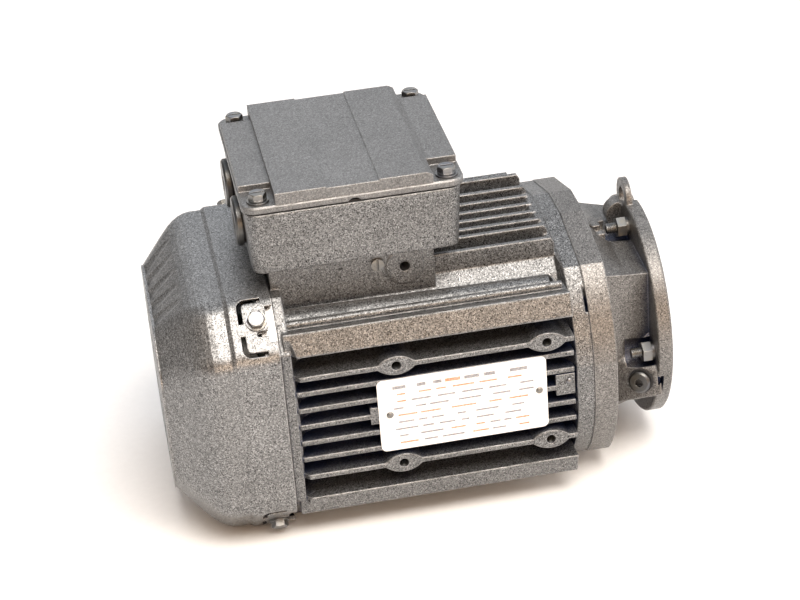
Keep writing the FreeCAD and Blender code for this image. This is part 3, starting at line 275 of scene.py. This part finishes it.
def copper_coils(name):
    """Enamelled wire in bundles under a coat of red-brown varnish."""
    s = Shader(name)
    wires = s.bands(s.coords((330, 60, 60)), 5.0)
    lacing = s.cells(90, "DISTANCE_TO_EDGE").outputs["Distance"]
    body = s.mix(wires, (0.14, 0.035, 0.012), (0.50, 0.17, 0.06))
    body = s.mix(s.ramp(lacing, (0.02, 0.8), (0.06, 0.0)), body, (0.62, 0.58, 0.48))
    s.set(Base_Color=body, Roughness=s.ramp(s.noise(220), (0.3, 0.22), (0.7, 0.45)), Coat_Weight=0.6,
          Coat_Roughness=0.2, Normal=s.bump(s.calc("ADD", wires, lacing), 0.0004, 0.9))
    return s.material


def moulded(name, colour, rough, grain, depth):
    """Moulded plastic or rubber: fine texture, uneven gloss, dust in the corners."""
    s = Shader(name)
    normal, edge = s.edges(0.0004)
    dust = s.noise(60, 5, 0.65)
    pale = tuple(min(1.0, c * 1.5 + 0.02) for c in colour)
    body = s.mix(s.ramp(dust, (0.45, 0.0), (0.8, 0.5)), colour, pale)
    body = s.mix(s.calc("MULTIPLY", edge, 0.35), body, pale)
    s.set(Base_Color=body, Roughness=s.ramp(dust, (0.3, rough - 0.08), (0.7, rough + 0.1)),
          Normal=s.bump(s.noise(grain, 3, 0.6), depth, 0.8, normal))
    return s.material


def printed_sheet(name):
    """Rating plate: thin white-lacquered aluminium, faintly uneven, with scuffs and bare edges."""
    s = Shader(name)
    normal, edge = s.edges(0.00025)
    haze = s.noise(45, 4, 0.6)
    scuff = s.noise(1.0, 3, 0.6, s.coords((300, 1, 2600), (0, 0.25, 0)))
    body = s.ramp(haze, (0.3, (0.86, 0.86, 0.85)), (0.7, (0.95, 0.95, 0.94)))
    body = s.mix(s.ramp(scuff, (0.66, 0.0), (0.74, 0.35)), body, (0.62, 0.62, 0.62))
    body = s.mix(edge, body, (0.50, 0.50, 0.50))
    s.set(Base_Color=body, Roughness=s.ramp(haze, (0.3, 0.34), (0.7, 0.5)),
          Normal=s.bump(haze, 0.00002, 0.5, normal))
    return s.material


def ink(name, colour):
    """Thin worn print: solid in places and rubbed through to the lacquer in others."""
    s = Shader(name)
    rub = s.noise(900, 4, 0.65)
    body = s.mix(s.ramp(rub, (0.42, 1.0), (0.68, 0.55)), (0.70, 0.70, 0.69), colour)
    s.set(Base_Color=body, Roughness=s.ramp(rub, (0.3, 0.45), (0.7, 0.6)), Normal=s.bump(rub, 0.00001, 0.4))
    return s.material


PAINTS = (     # name, tone, warmth, speckle, grain, roughness, depth, edge radius, reach of the shading
    ("silver_paint", 0.158, -0.010, 1.00, 1900, 0.35, 0.00014, 0.0015, 0.012),
    ("silver_paint_front", 0.165, 0.030, 0.70, 1900, 0.38, 0.00012, 0.0013, 0.010),
    ("lid_paint", 0.172, -0.004, 0.46, 1900, 0.42, 0.00005, 0.0011, 0.004),
    ("cowl_paint", 0.196, -0.012, 0.86, 1900, 0.34, 0.00008, 0.0008, 0.004),
)
MATERIALS = {spec[0]: silver_paint(*spec) for spec in PAINTS}
MATERIALS.update({
    "bare_casting": machined("bare_casting", 0.46, 0.01, 0.42, 700),
    "core_steel": laminations("core_steel"),
    "winding": copper_coils("winding"),
    "shaft_steel": machined("shaft_steel", 0.55, 0.0, 0.24, 4000),
    "bearing_steel": machined("bearing_steel", 0.62, 0.0, 0.14, 5000),
    "cage_steel": machined("cage_steel", 0.48, 0.03, 0.34, 1500),
    "spring_steel": machined("spring_steel", 0.20, 0.0, 0.36, 1800),
    "zinc_steel": zinc_plate("zinc_steel", 0.22, 0.38),
    "rubber": moulded("rubber", (0.018, 0.018, 0.020), 0.62, 1500, 0.00006),
    "fan_plastic": moulded("fan_plastic", (0.030, 0.031, 0.034), 0.46, 900, 0.00005),
    "board_plastic": moulded("board_plastic", (0.055, 0.045, 0.035), 0.40, 700, 0.00005),
    "brass": machined("brass", 0.55, 0.0, 0.26, 2500, tint=(0.66, 0.42, 0.14)),
    "plug_metal": zinc_plate("plug_metal", 0.12, 0.36),
    "plate_white": printed_sheet("plate_white"),
})


def dress_nodes():
    """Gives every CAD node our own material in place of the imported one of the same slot."""
    for node in NODES.values():
        for place in node.material_slots:
            base = place.material.name.split(".")[0]
            place.material = MATERIALS[base]


# ---------------------------------------------------------------- mesh pieces
def new_piece(name, vertices, faces, material, body="stator", smooth=True):
    mesh = bpy.data.meshes.new(name)
    mesh.from_pydata(vertices, [], faces)
    mesh.update()
    mesh.materials.append(material)
    if smooth:
        mesh.polygons.foreach_set("use_smooth", [True] * len(mesh.polygons))
    piece = bpy.data.objects.new(name, mesh)
    bpy.context.scene.collection.objects.link(piece)
    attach(piece, body)
    return piece


def thread_rings(start, direction, length, crest, root, pitch, taper, inside=False, steps=28, per_turn=6):
    """Vertices and faces of a helical thread round an axis, closed at both ends unless it lines a hole."""
    along = Vector(direction).normalized()
    side = along.orthogonal().normalized()
    other = along.cross(side)
    rows = max(2, int(length / pitch * per_turn))
    vertices, faces = [], []
    for row in range(rows + 1):
        t = length * row / rows
        fade = min(1.0, t / taper, (length - t) / taper)
        for step in range(steps):
            turn = step / steps
            phase = (t / pitch - turn) % 1.0
            wave = abs(2 * phase - 1)
            radius = root + (crest - root) * (wave if inside else wave * fade)
            angle = 2 * math.pi * turn
            point = Vector(start) + along * t + (side * math.cos(angle) + other * math.sin(angle)) * radius
            vertices.append(point)
    for row in range(rows):
        for step in range(steps):
            nxt = (step + 1) % steps
            quad = (row * steps + step, row * steps + nxt, (row + 1) * steps + nxt, (row + 1) * steps + step)
            faces.append(quad[::-1] if inside else quad)
    if not inside:
        faces.append(tuple(range(steps))[::-1])
        faces.append(tuple(rows * steps + i for i in range(steps)))
    return vertices, faces


def gather(parts):
    """One list of vertices and faces from several."""
    vertices, faces = [], []
    for some_vertices, some_faces in parts:
        base = len(vertices)
        vertices += some_vertices
        faces += [tuple(base + i for i in face) for face in some_faces]
    return vertices, faces


def flange_studs():
    """Four threaded studs, standing where the plain CAD ones are."""
    low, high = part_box("flange_studs")
    parts = []
    for i in range(4):
        angle = math.radians(STUD_TURN + 90.0 * i)
        start = (low.x, -STUD_CIRCLE_R * math.sin(angle), STUD_CIRCLE_R * math.cos(angle))
        parts.append(thread_rings(start, (1, 0, 0), high.x - low.x, 2.98 * MM, 2.45 * MM, 1.0 * MM, 0.8 * MM))
    vertices, faces = gather(parts)
    piece = new_piece("flange_stud_threads", vertices, faces, MATERIALS["zinc_steel"])
    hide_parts("flange_studs")


def boss_threads():
    """Threads in the mouths of the eight tapped bosses on the two sides, and in the earth hole."""
    parts = []
    for x in BOSS_X:
        for z in (-BOSS_Z, BOSS_Z):
            for face in (-1, 1):
                start = (x, face * BOSS_Y, z)
                parts.append(thread_rings(start, (0, -face, 0), 10 * MM, 2.47 * MM, 2.12 * MM, 0.9 * MM,
                                          0.5 * MM, inside=True))
    parts.append(thread_rings(EARTH_HOLE, (0, 1, 0), 9 * MM, 2.68 * MM, 2.3 * MM, 0.9 * MM, 0.5 * MM,
                              inside=True))
    vertices, faces = gather(parts)
    new_piece("tapped_hole_threads", vertices, faces, MATERIALS["zinc_steel"])


def bar(x0, x1, z0, z1, y, thickness):
    """A thin flat bar on the rating plate."""
    corners = [(x, yy, z) for yy in (y, y - thickness) for x, z in ((x0, z0), (x1, z0), (x1, z1), (x0, z1))]
    faces = [(4, 5, 6, 7), (0, 3, 2, 1), (0, 1, 5, 4), (1, 2, 6, 5), (2, 3, 7, 6), (3, 0, 4, 7)]
    return [Vector(c) for c in corners], faces


def plate_marks():
    """Blank rules and blocks on the rating plate, in place of its print."""
    low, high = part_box("rating_plate")
    draw = random.Random(7)
    face_y = low.y
    lift = 0.02 * MM
    grey_bars, warm_bars = [], []
    rows = 9
    left, right = low.x + 8 * MM, high.x - 7 * MM
    for row in range(rows):
        z = high.z - 5.0 * MM - row * (high.z - low.z - 9 * MM) / (rows - 1)
        x = left + (2 * MM if row % 3 else 0)
        while x < right - 4 * MM:
            width = draw.uniform(4, 13) * MM
            height = 1.0 * MM if row else 1.9 * MM
            kind = warm_bars if (row in (1, 4) or draw.random() < 0.15) else grey_bars
            kind.append(bar(x, min(x + width, right), z - height / 2, z + height / 2, face_y, lift))
            x += width + draw.uniform(1.5, 8) * MM
    for name, parts, colour in (("plate_marks_grey", grey_bars, (0.22, 0.22, 0.24)),
                                ("plate_marks_warm", warm_bars, (0.55, 0.24, 0.12))):
        vertices, faces = gather(parts)
        new_piece(name, vertices, faces, ink(name, colour), smooth=False)


# ---------------------------------------------------------------- floor, light and camera
def floor(z):
    size = 12.0
    mesh = bpy.data.meshes.new("floor")
    corners = [(-size, -size, z), (size, -size, z), (size, size, z), (-size, size, z)]
    mesh.from_pydata(corners, [], [(0, 1, 2, 3)])
    s = Shader("floor_paper")
    grain = s.noise(300, 3, 0.6)
    s.set(Base_Color=s.ramp(grain, (0.3, 0.905), (0.7, 0.93)), Roughness=0.9,
          Normal=s.bump(grain, 0.0001, 0.2))
    s.bsdf.inputs["Specular IOR Level"].default_value = 0.1
    mesh.materials.append(s.material)
    piece = bpy.data.objects.new("floor", mesh)
    bpy.context.scene.collection.objects.link(piece)


def area_light(name, target, direction, distance, size, power, colour=(1, 1, 1)):
    light = bpy.data.lights.new(name, "AREA")
    light.shape = "RECTANGLE"
    light.size, light.size_y = size
    light.energy = power
    light.color = colour
    lamp = bpy.data.objects.new(name, light)
    way = Vector(direction).normalized()
    lamp.location = Vector(target) + way * distance
    lamp.rotation_mode = "QUATERNION"
    lamp.rotation_quaternion = way.to_track_quat("Z", "Y")
    lamp.visible_camera = False
    bpy.context.scene.collection.objects.link(lamp)


def studio(centre):
    """A pale room, darker on the left and brown in front, under one large soft box and three weaker ones."""
    world = bpy.data.worlds.new("studio")
    bpy.context.scene.world = world
    world.use_nodes = True
    tree = world.node_tree
    tree.nodes.clear()
    back = tree.nodes.new("ShaderNodeBackground")
    out = tree.nodes.new("ShaderNodeOutputWorld")
    tree.links.new(back.outputs[0], out.inputs[0])
    where = tree.nodes.new("ShaderNodeTexCoord").outputs["Generated"]
    split = tree.nodes.new("ShaderNodeSeparateXYZ")
    tree.links.new(where, split.inputs[0])

    def ramp(axis, *stops):
        """Colour by the part of the direction along one axis, -1 to 1 mapped to 0 to 1."""
        node = tree.nodes.new("ShaderNodeMath")
        node.operation = "MULTIPLY_ADD"
        tree.links.new(split.outputs[axis], node.inputs[0])
        node.inputs[1].default_value = 0.5
        node.inputs[2].default_value = 0.5
        return colour_ramp(tree, node.outputs[0], stops)

    def times(a, b):
        node = mix_colours(tree, "MULTIPLY")
        node.inputs[0].default_value = 1.0
        tree.links.new(a, node.inputs[6])
        tree.links.new(b, node.inputs[7])
        return node.outputs[2]

    left_right = ramp("X", (0.0, (0.26, 0.23, 0.20)), (0.22, (0.42, 0.39, 0.36)),
                      (0.45, (1.0, 1.0, 1.0)))
    front_back = ramp("Y", (0.0, (0.62, 0.34, 0.16)), (0.20, (0.78, 0.58, 0.42)),
                      (0.45, (0.93, 0.97, 1.0)), (0.65, (0.90, 0.96, 1.05)), (0.90, (0.60, 0.62, 0.65)))
    up_down = ramp("Z", (0.5, (0.95, 0.95, 0.95)), (0.72, (1.0, 1.0, 1.0)),
                   (1.0, (1.2, 1.2, 1.2)))
    tree.links.new(times(times(left_right, front_back), up_down), back.inputs["Color"])
    back.inputs["Strength"].default_value = 1.12
    area_light("overhead_box", centre, (0.10, -0.50, 0.86), 1.6, (1.1, 0.8), 28.0, (1.0, 0.94, 0.87))
    area_light("right_fill", centre, (0.9, -0.35, 0.45), 1.8, (0.9, 0.9), 8.0, (1.0, 0.97, 0.94))
    area_light("warm_front", centre, (0.05, -0.98, 0.20), 1.9, (1.4, 0.5), 9.0, (1.0, 0.76, 0.55))
    area_light("back_fill", centre, (-0.15, 0.9, 0.5), 1.8, (1.4, 0.8), 2.5, (0.95, 0.97, 1.0))


def camera():
    """Long lens, a little above and to the rear of the near side, slightly rolled."""
    azimuth, elevation, roll = (math.radians(a) for a in (-8.17, 28.81, -4.66))
    back = Vector((math.sin(azimuth) * math.cos(elevation), -math.cos(azimuth) * math.cos(elevation),
                   math.sin(elevation)))
    level = (-back).cross(Vector((0, 0, 1))).normalized()
    upright = level.cross(-back)
    right = level * math.cos(roll) + upright * math.sin(roll)
    up = upright * math.cos(roll) - level * math.sin(roll)
    data = bpy.data.cameras.new("camera")
    data.sensor_width = 36.0
    data.lens = 100.62
    data.clip_start, data.clip_end = 0.05, 50.0
    view = bpy.data.objects.new("camera", data)
    bpy.context.scene.collection.objects.link(view)
    turn = Matrix((right, up, back)).transposed()
    view.matrix_world = Matrix.Translation(Vector((-0.1342, 0.0, 0.0231)) + back * 1.2019) @ turn.to_4x4()
    bpy.context.scene.camera = view


dress_nodes()
flange_studs()
boss_threads()
plate_marks()
low, high = CAD_BOX
floor(low.z - FLOOR_GAP)
studio((low + high) / 2)
camera()
bpy.context.scene.view_settings.view_transform = "Standard"
